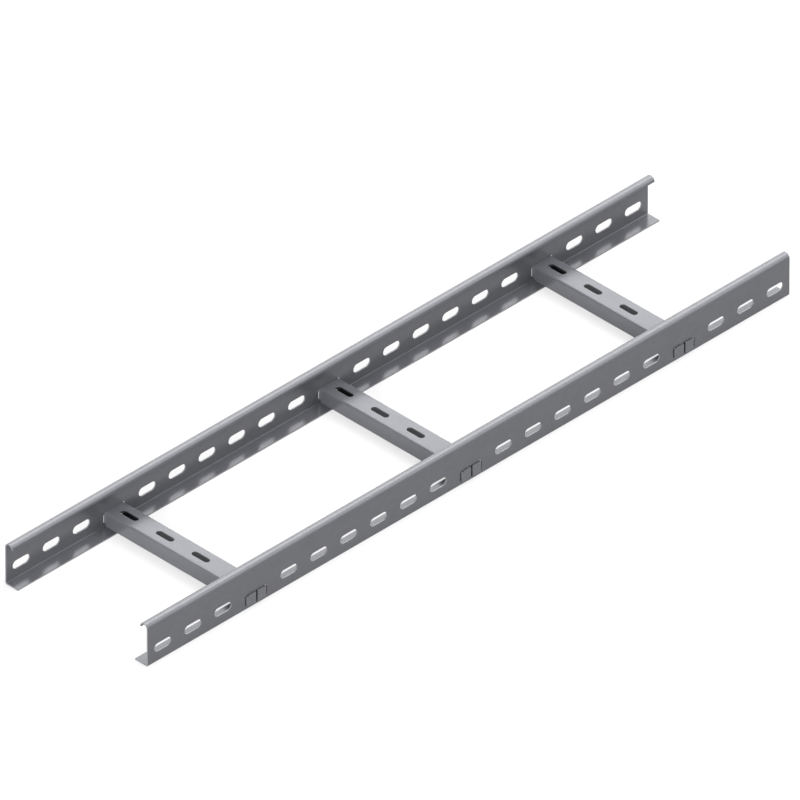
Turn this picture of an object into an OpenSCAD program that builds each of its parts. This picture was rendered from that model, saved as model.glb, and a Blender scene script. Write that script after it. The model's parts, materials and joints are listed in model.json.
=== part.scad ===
// Cable ladder section of folded galvanised sheet steel.
// Two side rails with a curled top lip carry three slotted channel rungs. Each rung
// stands on the rails' bottom flanges and passes through a window in each web, where
// its end is closed by two folded tabs.
// X runs along the ladder, Y across it and Z up. The origin is on the floor, in the
// middle of the section.

/* [Ladder] */
// Overall length of the section
ladder_length = 900; // [840:5:960]
// Width across the outer faces of the two side rails
ladder_width = 200; // [180:5:300]
// Distance from rung centre to rung centre
rung_pitch = 300; // [285:5:310]
// Thickness of the sheet that every piece is folded from
sheet = 1.5; // [1.2:0.1:1.8]
// Outer radius of the plain folds
fold_radius = 2; // [2:0.1:3]

/* [Side rails] */
// Height of a side rail from the floor to the top of its lip
rail_height = 50; // [45:1:80]
// Width of the bottom flange, from the rail's outer face inwards
flange_width = 18; // [15:0.5:25]
// Outer radius of the curled top lip
lip_radius = 5; // [4:0.25:6]
// Straight length that the lip runs down past its curl
lip_return = 1.5; // [0.5:0.25:3]
// Distance between the centres of two web slots
slot_pitch = 41.7; // [36:0.1:43]
// Length of a web slot
slot_length = 23.5; // [18:0.5:26]
// Height of a web slot
slot_height = 9.8; // [7:0.2:11]
// Height of the row of web slots above the floor
slot_level = 17; // [14:0.5:22]

/* [Rungs] */
// Width of a rung across its legs
rung_width = 26.5; // [22:0.5:30]
// Height of a rung, from the flange that it stands on to its top face
rung_height = 17; // [14:0.5:20]
// Number of slots in a rung's top face
rung_slots = 4; // [1:1:4]
// Distance between the centres of two slots in a rung
rung_slot_pitch = 50; // [35:1:50]
// Distance that the row of slots stands off the rung's middle, towards the back rail
rung_slot_shift = 2.2; // [-3:0.1:3]
// Length of a slot in a rung
rung_slot_length = 23; // [15:1:28]
// Width of a slot in a rung
rung_slot_width = 7; // [5:0.5:9]

/* [Rung ends] */
// Gap between a rung's legs and the sides of its window
window_side_gap = 2; // [0.5:0.25:3]
// Gap between a rung's top face and the top of its window
window_top_gap = 0.3; // [0.3:0.1:2.5]
// Height of the window's sill above the floor
window_sill = 3.5; // [3.2:0.1:5]
// Radius of the window's corners
window_corner = 2; // [1:0.25:3]
// Distance that a rung's end stands out past the web
end_proud = 1.5; // [0:0.25:3]
// Gap between the two folded tabs of a rung's end
tab_gap = 3.5; // [1:0.5:6]
// Relief left at both ends of a tab's fold
tab_relief = 0.5; // [0.3:0.1:1]
// Gap between a tab's top edge and the underside of the rung's top
tab_top_gap = 0.2; // [0.1:0.1:0.6]

/* [Hidden] */
$fn = 96;

slack = 0.5;
web_reach = ladder_width / 2;
rung_reach = web_reach + end_proud;
rung_top = sheet + rung_height;
rung_places = [-rung_pitch, 0, rung_pitch];
window_width = rung_width + 2 * window_side_gap;
window_height = rung_top + window_top_gap - window_sill;

bay_places = [-1.5 * rung_pitch, -0.5 * rung_pitch, 0.5 * rung_pitch, 1.5 * rung_pitch];
bay_slots = 6;
slot_end_margin = slot_length / 2 + 2 * sheet;
slot_places = [
    for (bay = bay_places)
        for (i = [0 : bay_slots - 1])
            let (x = bay + (i - (bay_slots - 1) / 2) * slot_pitch)
                if (abs(x) < ladder_length / 2 - slot_end_margin) x
];

foot_reach = web_reach - fold_radius - slack;
tab_bottom = window_sill + tab_relief;
tab_fold_top = rung_top - fold_radius - tab_relief;
tab_top = rung_top - sheet - tab_top_gap;
tab_width = rung_width / 2 - fold_radius - tab_gap / 2;

// A quarter of a fold, with its centre at the origin, in the quarter where x and y
// have the signs given.
module fold_quarter(radius, sign_x, sign_y) {
    intersection() {
        difference() {
            circle(radius);
            circle(radius - sheet);
        }
        translate([min(sign_x, 0) * radius, min(sign_y, 0) * radius]) square(radius);
    }
}

// A flat slot with round ends, lying along x and centred on the origin.
module stadium(length, width) {
    square([length - width, width], center = true);
    for (end = [-1, 1]) translate([end * (length - width) / 2, 0]) circle(width / 2);
}

// A flat rectangle with round corners, centred on x and standing on y = 0.
module round_window(width, height, corner) {
    translate([-width / 2 + corner, 0]) square([width - 2 * corner, height]);
    translate([-width / 2, corner]) square([width, height - 2 * corner]);
    for (x = [corner - width / 2, width / 2 - corner])
        for (y = [corner, height - corner])
            translate([x, y]) circle(corner);
}

// Stands a flat outline drawn along the rail and upwards through the web.
module through_web() {
    translate([0, sheet + slack, 0])
        rotate([90, 0, 0]) linear_extrude(sheet + 2 * slack) children();
}

// Section of a side rail. Its outer face is on x = 0 and its flange points along +x.
module rail_section() {
    translate([fold_radius, 0]) square([flange_width - fold_radius, sheet]);
    translate([fold_radius, fold_radius]) fold_quarter(fold_radius, -1, -1);
    translate([0, fold_radius]) square([sheet, rail_height - lip_radius - fold_radius]);
    translate([lip_radius, rail_height - lip_radius]) {
        fold_quarter(lip_radius, -1, 1);
        fold_quarter(lip_radius, 1, 1);
    }
    translate([2 * lip_radius - sheet, rail_height - lip_radius - lip_return])
        square([sheet, lip_return]);
}

// Side rail with its outer face on y = 0 and its flange pointing along +y.
module side_rail() {
    difference() {
        translate([-ladder_length / 2, 0, 0])
            rotate([90, 0, 90]) linear_extrude(ladder_length) rail_section();
        for (x = slot_places)
            translate([x, 0, slot_level]) through_web() stadium(slot_length, slot_height);
        for (x = rung_places)
            translate([x, 0, window_sill])
                through_web() round_window(window_width, window_height, window_corner);
    }
}

module side_rail_front() {
    color("#6d6e73") translate([0, -web_reach, 0]) side_rail();
}

module side_rail_back() {
    color("#6d6e73") mirror([0, 1, 0]) translate([0, -web_reach, 0]) side_rail();
}

// Section of a rung, open downwards, in the x-y plane with its feet on y = sheet.
module rung_section() {
    fold_side = rung_width / 2 - fold_radius;
    translate([-fold_side, rung_top - sheet]) square([2 * fold_side, sheet]);
    translate([fold_side, rung_top - fold_radius]) fold_quarter(fold_radius, 1, 1);
    translate([-fold_side, rung_top - fold_radius]) fold_quarter(fold_radius, -1, 1);
    for (x = [-rung_width / 2, rung_width / 2 - sheet])
        translate([x, sheet]) square([sheet, rung_height - fold_radius]);
}

// One folded tab of a rung's end, for the end at +y, on the side that sign_x gives. Its
// fold stops below the rung's top fold, and its flat goes on up to the rung's top.
module end_tab(sign_x) {
    fold_side = rung_width / 2 - fold_radius;
    translate([sign_x * fold_side, rung_reach - fold_radius, tab_bottom])
        linear_extrude(tab_fold_top - tab_bottom) fold_quarter(fold_radius, sign_x, 1);
    translate([sign_x * (fold_side - tab_width / 2), rung_reach - sheet / 2, tab_bottom])
        linear_extrude(tab_top - tab_bottom) square([tab_width, sheet], center = true);
}

// The corner that is cut out of both legs at the +y end, so that they clear the sill.
module foot_notch() {
    translate([-rung_width / 2 - slack, foot_reach, 0])
        cube([rung_width + 2 * slack, rung_reach - foot_reach + slack, tab_bottom]);
}

// Place of slot i along the rung.
function slot_y(i) = rung_slot_shift + (i - (rung_slots - 1) / 2) * rung_slot_pitch;

module rung() {
    leg_reach = rung_reach - fold_radius;
    top_reach = rung_reach - sheet;
    difference() {
        union() {
            translate([0, leg_reach, 0])
                rotate([90, 0, 0]) linear_extrude(2 * leg_reach) rung_section();
            translate([0, top_reach, 0]) rotate([90, 0, 0]) linear_extrude(2 * top_reach)
                intersection() {
                    rung_section();
                    translate([-rung_width / 2, rung_top - fold_radius])
                        square([rung_width, fold_radius]);
                }
            for (turn = [0, 180])
                rotate(turn) {
                    end_tab(-1);
                    end_tab(1);
                }
        }
        for (turn = [0, 180]) rotate(turn) foot_notch();
        for (i = [0 : rung_slots - 1])
            translate([0, slot_y(i), rung_top - sheet - slack])
                rotate(90) linear_extrude(sheet + 2 * slack)
                    stadium(rung_slot_length, rung_slot_width);
    }
}

module placed_rung(index) {
    color("#b4b5ba") translate([rung_places[index - 1], 0, 0]) rung();
}

side_rail_front();
side_rail_back();
placed_rung(1);  // rung_1
placed_rung(2);  // rung_2
placed_rung(3);  // rung_3
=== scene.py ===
import json
import math

import bpy
import numpy as np
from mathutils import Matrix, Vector


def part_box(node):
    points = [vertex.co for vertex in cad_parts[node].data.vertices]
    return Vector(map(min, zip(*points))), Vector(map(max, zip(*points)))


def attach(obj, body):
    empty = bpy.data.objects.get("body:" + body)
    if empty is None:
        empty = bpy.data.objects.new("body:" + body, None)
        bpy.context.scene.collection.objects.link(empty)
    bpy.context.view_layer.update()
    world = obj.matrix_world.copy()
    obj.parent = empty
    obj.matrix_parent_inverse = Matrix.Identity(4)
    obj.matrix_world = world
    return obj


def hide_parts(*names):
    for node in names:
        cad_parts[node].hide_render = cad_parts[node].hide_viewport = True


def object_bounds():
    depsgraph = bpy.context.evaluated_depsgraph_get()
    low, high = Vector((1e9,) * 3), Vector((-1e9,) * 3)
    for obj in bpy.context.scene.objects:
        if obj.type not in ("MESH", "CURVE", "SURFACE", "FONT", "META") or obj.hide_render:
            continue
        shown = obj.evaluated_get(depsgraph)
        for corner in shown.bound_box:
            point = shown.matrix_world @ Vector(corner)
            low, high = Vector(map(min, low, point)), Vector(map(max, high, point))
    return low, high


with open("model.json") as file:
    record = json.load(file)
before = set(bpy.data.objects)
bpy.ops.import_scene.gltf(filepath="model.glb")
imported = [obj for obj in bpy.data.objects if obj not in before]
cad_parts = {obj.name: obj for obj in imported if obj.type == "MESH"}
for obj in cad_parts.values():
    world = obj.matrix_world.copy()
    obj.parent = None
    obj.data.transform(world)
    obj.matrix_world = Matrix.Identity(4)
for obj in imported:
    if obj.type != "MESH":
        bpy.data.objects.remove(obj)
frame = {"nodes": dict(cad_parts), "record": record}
cadLow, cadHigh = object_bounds()
mounts = {mount["name"]: mount for mount in frame["record"]["mounts"]}
scene = bpy.context.scene
print("frame loaded,", len(frame["nodes"]), "pieces")


# How the sheet is cut and folded, for every piece. Lengths are in metres, angles in radians.
sheetWork = {
    "thickness": 0.0015,
    "foldRadius": 0.002,      # outer radius of the plain folds
    "foldStep": math.radians(9),    # turn between two rows of points in a fold
    "flatStep": 0.006,        # widest plain strip across a section
    "cornerSteps": 5,         # steps in each half of a hole's corner
    "rimRound": 0.00016,      # rounding left by the punch and the shear
    "rimSteps": 2,
    "rimAngle": math.radians(50),   # edges that turn more than this are rounded
    "slack": 1e-6,            # for rounding errors: grid lines closer than this are one
    "onLine": 1e-7,           # points closer than this to a line are on it
}


# Place of points on a folded sheet's section. The outer face is walked run by run: a
# straight run adds its length along the heading, and a bend of radius r follows a circle
# that turns right. Each point then moves its depth to the right, into the sheet.
def foldSheet(runs, start, heading, travel, depth):
    lengths = np.array([length for length, radius in runs])
    turns = np.array([1 / radius if radius else 0.0 for length, radius in runs])
    begins = np.concatenate([[0.0], np.cumsum(lengths)[:-1]])
    headings = heading - np.concatenate([[0.0], np.cumsum(lengths * turns)[:-1]])

    def walk(facing, turn, distance):
        bent = turn > 0
        safe = np.where(bent, turn, 1.0)
        end = facing - turn * distance
        across = np.where(bent, (np.sin(facing) - np.sin(end)) / safe, distance * np.cos(facing))
        upward = np.where(bent, (np.cos(end) - np.cos(facing)) / safe, distance * np.sin(facing))
        return across, upward

    acrossRun, upRun = walk(headings, turns, lengths)
    startAcross = start[0] + np.concatenate([[0.0], np.cumsum(acrossRun)[:-1]])
    startUp = start[1] + np.concatenate([[0.0], np.cumsum(upRun)[:-1]])
    run = np.clip(np.searchsorted(begins, travel, side="right") - 1, 0, len(runs) - 1)
    gone = travel - begins[run]
    across, upward = walk(headings[run], turns[run], gone)
    facing = headings[run] - turns[run] * gone
    return (
        startAcross[run] + across + depth * np.sin(facing),
        startUp[run] + upward - depth * np.cos(facing),
    )


# Grid lines for a walk along the runs: close together in bends, wide apart on flats.
def runLines(runs):
    lines = [np.zeros(1)]
    begin = 0.0
    for length, radius in runs:
        step = radius * sheetWork["foldStep"] if radius else sheetWork["flatStep"]
        count = max(1, math.ceil(length / step - sheetWork["slack"]))
        lines.append(begin + np.linspace(0, length, count + 1))
        begin += length
    return np.concatenate(lines)


# Grid lines round a hole in one direction. They stand reach * tan(angle) outside the
# hole's inner rectangle, so that the rim's corner points come out at equal angles.
def holeLines(centre, half, corner, reach):
    angles = np.linspace(0, math.pi / 4, sheetWork["cornerSteps"] + 1)
    outward = half - corner + reach * np.tan(angles)
    return np.concatenate([centre - outward, centre + outward])


def mergeLines(*groups):
    lines = np.sort(np.concatenate(groups))
    return lines[np.concatenate([[True], np.diff(lines) > sheetWork["slack"]])]


# All of a blank's grid lines in one direction: axis 0 is its length, axis 1 its girth.
def gridLines(axis, holes, *groups):
    aroundHoles = [
        holeLines(hole["centre"][axis], hole["half"][axis], hole["corner"], hole["reach"])
        for hole in holes
    ]
    return mergeLines(*groups, *aroundHoles)


# Half the length and half the width of a slot that the record states.
def slotSize(mount):
    return mount["dims"]["slot_length_mm"] / 2000, mount["dims"]["hole_r_mm"] / 1000


# A flat blank with punched holes. Grid cells stay where keepCell says so. Round a hole a
# block of cells is left out, and a ring of four-sided faces joins the block's edge to the
# rim. A rim point is the block point pulled in to the nearest point of the hole's inner
# rectangle, then pushed out again by the corner radius, which is less than the reach.
def cutBlank(lengthLines, girthLines, keepCell, holes):
    girthCount = len(girthLines)
    grid = np.stack(np.meshgrid(lengthLines, girthLines, indexing="ij"), -1).reshape(-1, 2)
    lengthMiddle = (lengthLines[:-1] + lengthLines[1:]) / 2
    girthMiddle = (girthLines[:-1] + girthLines[1:]) / 2
    kept = keepCell(*np.meshgrid(lengthMiddle, girthMiddle, indexing="ij"))
    points, rings, total = [grid], [], len(grid)
    for hole in holes:
        centre, half = np.array(hole["centre"]), np.array(hole["half"])
        inner = half - hole["corner"]
        block = inner + hole["reach"] + sheetWork["slack"]
        i0, i1 = np.searchsorted(lengthLines, [centre[0] - block[0], centre[0] + block[0]])
        j0, j1 = np.searchsorted(girthLines, [centre[1] - block[1], centre[1] + block[1]])
        i1, j1 = i1 - 1, j1 - 1
        kept[i0:i1, j0:j1] = False
        loop = np.concatenate([
            np.arange(i0, i1) * girthCount + j0,
            i1 * girthCount + np.arange(j0, j1),
            np.arange(i1, i0, -1) * girthCount + j1,
            i0 * girthCount + np.arange(j1, j0, -1),
        ])
        offset = grid[loop] - centre
        core = np.clip(offset, -inner, inner)
        away = offset - core
        away /= np.linalg.norm(away, axis=1, keepdims=True)
        rim = total + np.arange(len(loop))
        rings.append(np.stack([loop, np.roll(loop, -1), np.roll(rim, -1), rim], 1))
        points.append(centre + core + hole["corner"] * away)
        total += len(loop)
    i, j = np.nonzero(kept)
    first = i * girthCount + j
    cells = np.stack([first, first + girthCount, first + girthCount + 1, first + 1], 1)
    used, faces = np.unique(np.concatenate([cells, *rings]), return_inverse=True)
    return np.concatenate(points)[used], faces.reshape(-1, 4)


# Folds a blank and closes it into a solid sheet: the outer face, the same face turned
# over at full depth, and a cut edge under every blank edge that only one face has. Turned
# flips every face, where the fold would leave them inside out. The first finish goes on
# the sheet's two faces and the second on its cut edges.
def makeSheetPiece(name, node, blank, faces, place, turned, finishes):
    thickness = sheetWork["thickness"]
    count = len(blank)
    edges = np.concatenate([faces[:, [k, (k + 1) % 4]] for k in range(4)])
    shared = np.isin(edges[:, 0] * count + edges[:, 1], edges[:, 1] * count + edges[:, 0])
    rim = edges[~shared]
    cuts = np.stack([rim[:, 1], rim[:, 0], rim[:, 0] + count, rim[:, 1] + count], 1)
    solid = np.concatenate([faces, faces[:, ::-1] + count, cuts])
    if turned:
        solid = solid[:, ::-1]
    points = np.concatenate([place(blank, 0.0), place(blank, thickness)])
    flat = np.concatenate([blank, blank + thickness])

    mesh = bpy.data.meshes.new(name)
    mesh.from_pydata(points, [], solid)
    mesh.uv_layers.new(name="blank").uv.foreach_set("vector", flat[solid.ravel()].ravel())
    isCut = np.arange(len(solid)) >= 2 * len(faces)
    mesh.polygons.foreach_set("material_index", isCut.astype(np.int32))
    mesh.polygons.foreach_set("use_smooth", np.ones(len(solid), dtype=bool))
    for material in finishes:
        mesh.materials.append(material)
    mesh.update()

    piece = bpy.data.objects.new(name, mesh)
    scene.collection.objects.link(piece)
    rounding = piece.modifiers.new("rim", "BEVEL")
    rounding.width = sheetWork["rimRound"]
    rounding.segments = sheetWork["rimSteps"]
    rounding.limit_method = "ANGLE"
    rounding.angle_limit = sheetWork["rimAngle"]
    rounding.use_clamp_overlap = False
    rounding.harden_normals = True
    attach(piece, "root")
    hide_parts(node)
    print(name, len(solid), "faces before rounding")
    return piece


# The zinc coating's pattern and its four finishes. A finish goes from its dark to its light
# colour and from its smoothest to its roughest as the pattern changes.
zincPattern = {
    "crystals": 160.0,        # crystals per metre
    "rollingStretch": (9.0, 1400.0, 1.0),   # rolling lines are long and narrow
    "rollingDetail": 3.0,
    "cloudScale": 24.0,
    "cloudDetail": 4.0,
    "cloudInTone": 0.55,
    "rollingInTone": 0.3,
    "cloudInSheen": 0.5,
    "crystalInHeight": 0.25,
    "reliefDepth": 0.0002,
}
railFaceLook = {
    "dark": (0.104, 0.106, 0.117, 1),
    "light": (0.127, 0.129, 0.142, 1),
    "metallic": 0.25,
    "specular": 0.375,
    "smoothest": 0.20,
    "roughest": 0.27,
    "relief": 0.03,
}
# The rungs are the same sheet as the rails, painted about a tenth lighter: painted light that
# stands in for the brighter light on the rung tops and on their left faces.
rungFacePaintedLightLook = railFaceLook | {
    "dark": (0.123, 0.125, 0.138, 1),
    "light": (0.149, 0.152, 0.167, 1),
}
# The rails' cut edges are painted about twice as light as the sheet's faces: painted light on the
# cut ends that face the left.
railEdgePaintedLightLook = {
    "dark": (0.205, 0.207, 0.216, 1),
    "light": (0.250, 0.252, 0.262, 1),
    "metallic": 0.4,
    "specular": 0.5,
    "smoothest": 0.45,
    "roughest": 0.6,
    "relief": 0.10,
}
# The rungs' cut edges are the same steel as the rails' cut edges, painted about half as light:
# painted shade in the narrow gaps between the tabs and round the rung's ends.
rungEdgePaintedShadeLook = railEdgePaintedLightLook | {
    "dark": (0.105, 0.106, 0.113, 1),
    "light": (0.130, 0.131, 0.139, 1),
}


# Zinc coating on rolled sheet, laid out on the flat blank. Crystals are cells whose tone
# and sheen change a little from one to the next, and rolling lines run along the blank.
def makeZincGroup():
    pattern = zincPattern
    group = bpy.data.node_groups.new("zinc coating", "ShaderNodeTree")
    perMetre = group.interface.new_socket(
        "Crystals per metre", in_out="INPUT", socket_type="NodeSocketFloat"
    )
    perMetre.default_value = pattern["crystals"]
    for label in ("Tone", "Sheen", "Height"):
        group.interface.new_socket(label, in_out="OUTPUT", socket_type="NodeSocketFloat")
    nodes, links = group.nodes, group.links
    entry, leave = nodes.new("NodeGroupInput"), nodes.new("NodeGroupOutput")
    blankMap = nodes.new("ShaderNodeUVMap")
    blankMap.uv_map = "blank"

    crystals = nodes.new("ShaderNodeTexVoronoi")
    crystals.voronoi_dimensions = "2D"
    links.new(blankMap.outputs["UV"], crystals.inputs["Vector"])
    links.new(entry.outputs["Crystals per metre"], crystals.inputs["Scale"])
    split = nodes.new("ShaderNodeSeparateColor")
    links.new(crystals.outputs["Color"], split.inputs["Color"])

    stretch = nodes.new("ShaderNodeMapping")
    stretch.inputs["Scale"].default_value = pattern["rollingStretch"]
    links.new(blankMap.outputs["UV"], stretch.inputs["Vector"])
    rolling = nodes.new("ShaderNodeTexNoise")
    rolling.noise_dimensions = "2D"
    rolling.inputs["Scale"].default_value = 1.0
    rolling.inputs["Detail"].default_value = pattern["rollingDetail"]
    links.new(stretch.outputs["Vector"], rolling.inputs["Vector"])

    cloud = nodes.new("ShaderNodeTexNoise")
    cloud.noise_dimensions = "2D"
    cloud.inputs["Scale"].default_value = pattern["cloudScale"]
    cloud.inputs["Detail"].default_value = pattern["cloudDetail"]
    links.new(blankMap.outputs["UV"], cloud.inputs["Vector"])

    def blend(first, second, share):
        mix = nodes.new("ShaderNodeMix")
        mix.inputs["Factor"].default_value = share
        links.new(first, mix.inputs["A"])
        links.new(second, mix.inputs["B"])
        return mix.outputs["Result"]

    tone = blend(split.outputs["Red"], cloud.outputs["Fac"], pattern["cloudInTone"])
    tone = blend(tone, rolling.outputs["Fac"], pattern["rollingInTone"])
    sheen = blend(split.outputs["Green"], cloud.outputs["Fac"], pattern["cloudInSheen"])
    height = blend(rolling.outputs["Fac"], split.outputs["Blue"], pattern["crystalInHeight"])
    links.new(tone, leave.inputs["Tone"])
    links.new(sheen, leave.inputs["Sheen"])
    links.new(height, leave.inputs["Height"])
    return group


zincGroup = makeZincGroup()


def makeZincMaterial(name, look):
    material = bpy.data.materials.new(name)
    material.use_nodes = True
    nodes, links = material.node_tree.nodes, material.node_tree.links
    surface = nodes["Principled BSDF"]
    surface.inputs["Metallic"].default_value = look["metallic"]
    surface.inputs["Specular IOR Level"].default_value = look["specular"]
    coating = nodes.new("ShaderNodeGroup")
    coating.node_tree = zincGroup
    colour = nodes.new("ShaderNodeMix")
    colour.data_type = "RGBA"
    colour.inputs[6].default_value = look["dark"]     # inputs 6 and 7 are the two colours
    colour.inputs[7].default_value = look["light"]
    links.new(coating.outputs["Tone"], colour.inputs["Factor"])
    links.new(colour.outputs[2], surface.inputs["Base Color"])    # output 2 is their mix
    roughness = nodes.new("ShaderNodeMapRange")
    roughness.inputs["To Min"].default_value = look["smoothest"]
    roughness.inputs["To Max"].default_value = look["roughest"]
    links.new(coating.outputs["Sheen"], roughness.inputs["Value"])
    links.new(roughness.outputs["Result"], surface.inputs["Roughness"])
    relief = nodes.new("ShaderNodeBump")
    relief.inputs["Strength"].default_value = look["relief"]
    relief.inputs["Distance"].default_value = zincPattern["reliefDepth"]
    links.new(coating.outputs["Height"], relief.inputs["Height"])
    links.new(relief.outputs["Normal"], surface.inputs["Normal"])
    return material


railFace = makeZincMaterial("galvanised sheet", railFaceLook)
rungFacePaintedLight = makeZincMaterial("galvanised rung strip with painted light", rungFacePaintedLightLook)
railEdgePaintedLight = makeZincMaterial("cut edge of a rail with painted light", railEdgePaintedLightLook)
rungEdgePaintedShade = makeZincMaterial("cut edge of a rung with painted shade", rungEdgePaintedShadeLook)
print("finishes made")


# What both kinds of piece take from the frame.
rungNodes = ["rung_1", "rung_2", "rung_3"]
rungBoxes = [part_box(node) for node in rungNodes]
rungPlaces = [(low.x + high.x) / 2 for low, high in rungBoxes]
rungPitch = rungPlaces[1] - rungPlaces[0]
rungWidth = rungBoxes[0][1].x - rungBoxes[0][0].x
rungTop = rungBoxes[0][1].z
webSlot = mounts["coupler_slots_front_left"]
rungSlot = mounts["middle_rung_inner_slots"]

railShape = {
    "lipRadius": 0.0054,      # outer radius of the curled lip
    "lipReturn": 0.0002,      # straight length past the curl
    "slotsPerBay": 6,
    "slotReach": 0.0065,      # from a slot's inner line to the edge of its patch
    "windowSideGap": 0.002,
    "windowTopGap": 0.0003,
    "windowSill": 0.0035,     # height above the floor
    "windowCorner": 0.0045,
    "windowReach": 0.0052,    # from a window's inner rectangle to the edge of its patch
}


# The section goes from the flange's free edge to the outer face, up the web and over the
# lip. Inward is 1 where the flange points to the back and -1 where it points to the front.
# Slots stand in bays between the rungs, and a bay past the ladder's end is cut short.
def buildRail(name, node, inward):
    low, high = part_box(node)
    shape, fold = railShape, sheetWork["foldRadius"]
    lip = shape["lipRadius"]
    flange, height = high.y - low.y, high.z - low.z
    outerFace = low.y if inward > 0 else high.y
    runs = [
        (flange - fold, 0),
        (fold * math.pi / 2, fold),
        (height - fold - lip, 0),
        (lip * math.pi, lip),
        (shape["lipReturn"], 0),
    ]
    webStart = runs[0][0] + runs[1][0]

    def girthAt(level):
        return webStart + level - fold

    slotHalf = slotSize(webSlot)
    slotPitch = webSlot["dims"]["spacing_x_mm"] / 1000
    bays = [rungPlaces[0] - rungPitch / 2] + [place + rungPitch / 2 for place in rungPlaces]
    steps = (np.arange(shape["slotsPerBay"]) - (shape["slotsPerBay"] - 1) / 2) * slotPitch
    slots = (np.array(bays)[:, None] + steps[None, :]).ravel()
    slots = slots[np.abs(slots - (low.x + high.x) / 2) < (high.x - low.x) / 2 - slotHalf[0]]
    windowTop = rungTop + shape["windowTopGap"]
    windowHalf = (rungWidth / 2 + shape["windowSideGap"], (windowTop - shape["windowSill"]) / 2)
    windowLevel = (windowTop + shape["windowSill"]) / 2
    holes = [
        {"centre": (place, girthAt(webSlot["pos_m"][2])), "half": slotHalf,
         "corner": slotHalf[1], "reach": shape["slotReach"]}
        for place in slots
    ] + [
        {"centre": (place, girthAt(windowLevel)), "half": windowHalf,
         "corner": shape["windowCorner"], "reach": shape["windowReach"]}
        for place in rungPlaces
    ]
    blank, faces = cutBlank(
        gridLines(0, holes, np.array([low.x, high.x])),
        gridLines(1, holes, runLines(runs)),
        lambda along, around: np.ones(along.shape, bool),
        holes,
    )

    def place(flat, depth):
        across, level = foldSheet(runs, (flange, 0.0), math.pi, flat[:, 1], depth)
        return np.stack([flat[:, 0], outerFace + inward * across, low.z + level], 1)

    return makeSheetPiece(name, node, blank, faces, place, inward < 0, (railFace, railEdgePaintedLight))


buildRail("railFront", "side_rail_front", 1)
buildRail("railBack", "side_rail_back", -1)


rungShape = {
    "slots": 4,
    "slotReach": 0.005,       # from a slot's inner line to the edge of its patch
    "footClear": 0.0005,      # between a foot's end and the fold of the rail
    "tabGap": 0.0022,
    "tabRelief": 0.0005,      # at both ends of a tab's fold
    "tabTopGap": 0.0002,      # from a tab's top edge to the underside of the rung's top
}


# The section goes up one leg, over the top and down the other leg. Along the rung, both
# legs go on into tabs, so each end also follows a section seen from above.
def buildRung(name, node):
    low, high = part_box(node)
    shape, fold = rungShape, sheetWork["foldRadius"]
    middleX, width, height = (low.x + high.x) / 2, high.x - low.x, high.z - low.z
    thickness = sheetWork["thickness"]
    reach = high.y
    legReach, topReach = reach - fold, reach - thickness
    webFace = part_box("side_rail_back")[1].y
    footReach = webFace - fold - shape["footClear"]
    tabBottom = railShape["windowSill"] + shape["tabRelief"] - low.z
    tabFoldTop = height - fold - shape["tabRelief"]
    tabTop = height - thickness - shape["tabTopGap"]
    legRun, foldRun = height - fold, fold * math.pi / 2
    tabStart = legReach + foldRun
    runs = [(legRun, 0), (foldRun, fold), (width - 2 * fold, 0), (foldRun, fold), (legRun, 0)]
    girth = sum(length for length, radius in runs)
    planRuns = [(legReach, 0), (foldRun, fold), (width / 2 - fold - shape["tabGap"] / 2, 0)]

    slotHalf = slotSize(rungSlot)
    slotPitch = rungSlot["dims"]["spacing_y_mm"] / 1000
    holes = [
        {"centre": (rungSlot["pos_m"][1] + (k - (shape["slots"] - 1) / 2) * slotPitch, girth / 2),
         "half": slotHalf, "corner": slotHalf[1], "reach": shape["slotReach"]}
        for k in range(shape["slots"])
    ]
    ends = mergeLines(runLines(planRuns), np.array([footReach, topReach]))
    levels = np.array([tabBottom, tabFoldTop, tabTop])

    # The top and its two folds end at the back of the tabs. Each leg goes on above the sill
    # into a tab that folds inwards, and past its fold the tab rises to the underside.
    def keepCell(along, around):
        out, drop = np.abs(along), np.minimum(around, girth - around)
        leg = (out < footReach) | ((drop > tabBottom) & ((out < legReach) | (drop < tabFoldTop)))
        flat = (out > tabStart) & (drop > tabBottom) & (drop < tabTop)
        return np.where(drop < legRun, leg & (out < tabStart), out < topReach) | flat

    blank, faces = cutBlank(
        gridLines(0, holes, ends, -ends),
        gridLines(1, holes, runLines(runs), levels, girth - levels),
        keepCell,
        holes,
    )

    # The top and its folds lie on the section. Legs and tabs lie on the plan, and a tab's
    # height is its distance up the leg.
    def place(flat, depth):
        along, around = flat.T
        x, z = foldSheet(runs, (-width / 2, low.z), math.pi / 2, around, depth)
        planX, planY = foldSheet(planRuns, (-width / 2, 0.0), math.pi / 2, np.abs(along), depth)
        drop = np.minimum(around, girth - around)
        isTab = np.abs(along) > tabStart - sheetWork["onLine"]
        isLeg = isTab | (drop < legRun + sheetWork["onLine"])
        legX = np.where(around < girth / 2, planX, -planX)
        return np.stack([
            middleX + np.where(isLeg, legX, x),
            np.where(isLeg, np.sign(along) * planY, along),
            np.where(isTab, low.z + drop, z),
        ], 1)

    return makeSheetPiece(name, node, blank, faces, place, True, (rungFacePaintedLight, rungEdgePaintedShade))


for number, node in enumerate(rungNodes, 1):
    buildRung("rung" + str(number), node)


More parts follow.
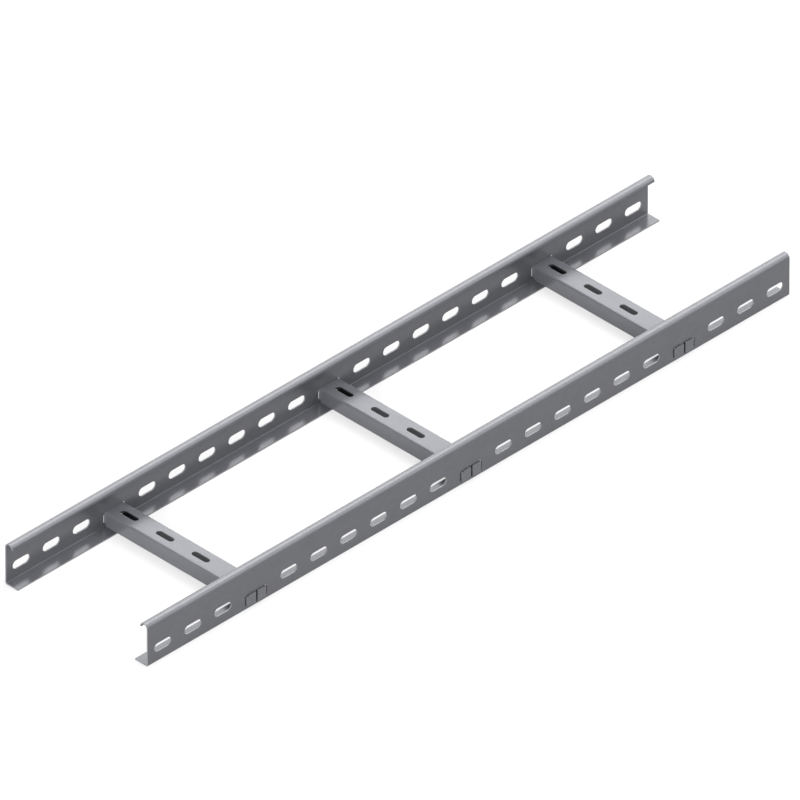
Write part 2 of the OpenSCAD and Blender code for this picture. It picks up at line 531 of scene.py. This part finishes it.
studio = {
    "floorColour": (0.30, 0.30, 0.30, 1),
    "floorGlow": 0.61,        # what the camera, metal and glass see on top of the floor's light
    "floorSize": 30.0,
    "floorDrop": 0.0001,      # keeps the floor clear of the flanges' undersides
    "fill": 0.24,             # even light from all round
    "backdrop": 1.0,          # the same surroundings as the camera, metal and glass see them
    "lampDistance": 8.0,
    # name, azimuth, elevation and angular radius in degrees, brightness from the object
    "lamps": [
        ("boxAbove", 95, 57, 18, 5.3),
        ("boxSky", 90, 52, 28, 1.6),
        ("boxRight", 135, 35, 16, 3.1),
        ("boxLeft", 45, 35, 15, 2.5),
        ("boxLow", 38, 18, 17, 1.4),
        ("boxBack", 142, 12, 13, 1.5),
        ("boxFront", 0, 58, 18, 2.8),
        ("boxSide", -75, 10, 25, 8.5),
    ],
}


# Direction from the object, with azimuth 0 to the front and 90 to the right.
def towards(azimuth, elevation):
    a, e = math.radians(azimuth), math.radians(elevation)
    return Vector((math.sin(a) * math.cos(e), -math.cos(a) * math.cos(e), math.sin(e)))


# One where the camera, metal or glass looks, and nought where light falls on plain things.
def addSeenMask(tree):
    path = tree.nodes.new("ShaderNodeLightPath")
    mask = path.outputs["Is Camera Ray"]
    for label in ("Is Glossy Ray", "Is Transmission Ray"):
        either = tree.nodes.new("ShaderNodeMath")
        either.operation = "MAXIMUM"
        tree.links.new(mask, either.inputs[0])
        tree.links.new(path.outputs[label], either.inputs[1])
        mask = either.outputs[0]
    return mask


def addRange(tree, mask, unseen, seen):
    strength = tree.nodes.new("ShaderNodeMapRange")
    strength.inputs["To Min"].default_value = unseen
    strength.inputs["To Max"].default_value = seen
    tree.links.new(mask, strength.inputs["Value"])
    return strength.outputs["Result"]


def makeFloor():
    bpy.ops.mesh.primitive_plane_add(
        size=studio["floorSize"], location=(0, 0, cadLow.z - studio["floorDrop"])
    )
    floor = bpy.context.object
    floor.name = "floor"
    material = bpy.data.materials.new("pale floor")
    material.use_nodes = True
    tree = material.node_tree
    surface = tree.nodes["Principled BSDF"]
    surface.inputs["Base Color"].default_value = studio["floorColour"]
    surface.inputs["Roughness"].default_value = 1.0
    surface.inputs["Specular IOR Level"].default_value = 0.0
    surface.inputs["Emission Color"].default_value = (1, 1, 1, 1)
    glow = addRange(tree, addSeenMask(tree), 0.0, studio["floorGlow"])
    tree.links.new(glow, surface.inputs["Emission Strength"])
    floor.data.materials.append(material)


def makeSurroundings():
    scene.world = bpy.data.worlds.new("studio")
    scene.world.use_nodes = True
    tree = scene.world.node_tree
    background = tree.nodes["Background"]
    background.inputs["Color"].default_value = (1, 1, 1, 1)
    backdrop = addRange(tree, addSeenMask(tree), studio["fill"], studio["backdrop"])
    tree.links.new(backdrop, background.inputs["Strength"])


# A round lamp of radius r needs (pi * r) squared watts for each unit of its brightness.
def makeLamps():
    for name, azimuth, elevation, radius, brightness in studio["lamps"]:
        lamp = bpy.data.lights.new(name, "AREA")
        lamp.shape = "DISK"
        lamp.size = 2 * studio["lampDistance"] * math.tan(math.radians(radius))
        lamp.energy = brightness * (math.pi * lamp.size / 2) ** 2
        holder = bpy.data.objects.new(name, lamp)
        scene.collection.objects.link(holder)
        holder.location = towards(azimuth, elevation) * studio["lampDistance"]
        holder.rotation_mode = "QUATERNION"
        holder.rotation_quaternion = towards(azimuth, elevation).to_track_quat("Z", "Y")


# Long lens from far off, almost a parallel view. The aim is the offset of the picture's
# middle from the origin, along the picture's right and up.
cameraSetup = {
    "azimuth": -45.012,       # degrees
    "elevation": 35.225,
    "lens": 1680.0,           # millimetres
    "distance": 37.026,
    "nearest": 1.0,
    "farthest": 100.0,
    "aimRight": 0.00051,
    "aimUp": 0.03823,
}


def makeCamera():
    setup = cameraSetup
    turn = math.radians(setup["azimuth"])
    back = towards(setup["azimuth"], setup["elevation"])
    right = Vector((math.cos(turn), math.sin(turn), 0))
    aim = right * setup["aimRight"] + back.cross(right) * setup["aimUp"]
    data = bpy.data.cameras.new("camera")
    data.lens = setup["lens"]
    data.clip_start, data.clip_end = setup["nearest"], setup["farthest"]
    camera = bpy.data.objects.new("camera", data)
    scene.collection.objects.link(camera)
    camera.location = aim + back * setup["distance"]
    camera.rotation_mode = "QUATERNION"
    camera.rotation_quaternion = back.to_track_quat("Z", "Y")
    scene.camera = camera


makeFloor()
makeSurroundings()
makeLamps()
makeCamera()
scene.view_settings.view_transform = "Standard"
print("studio and camera placed")
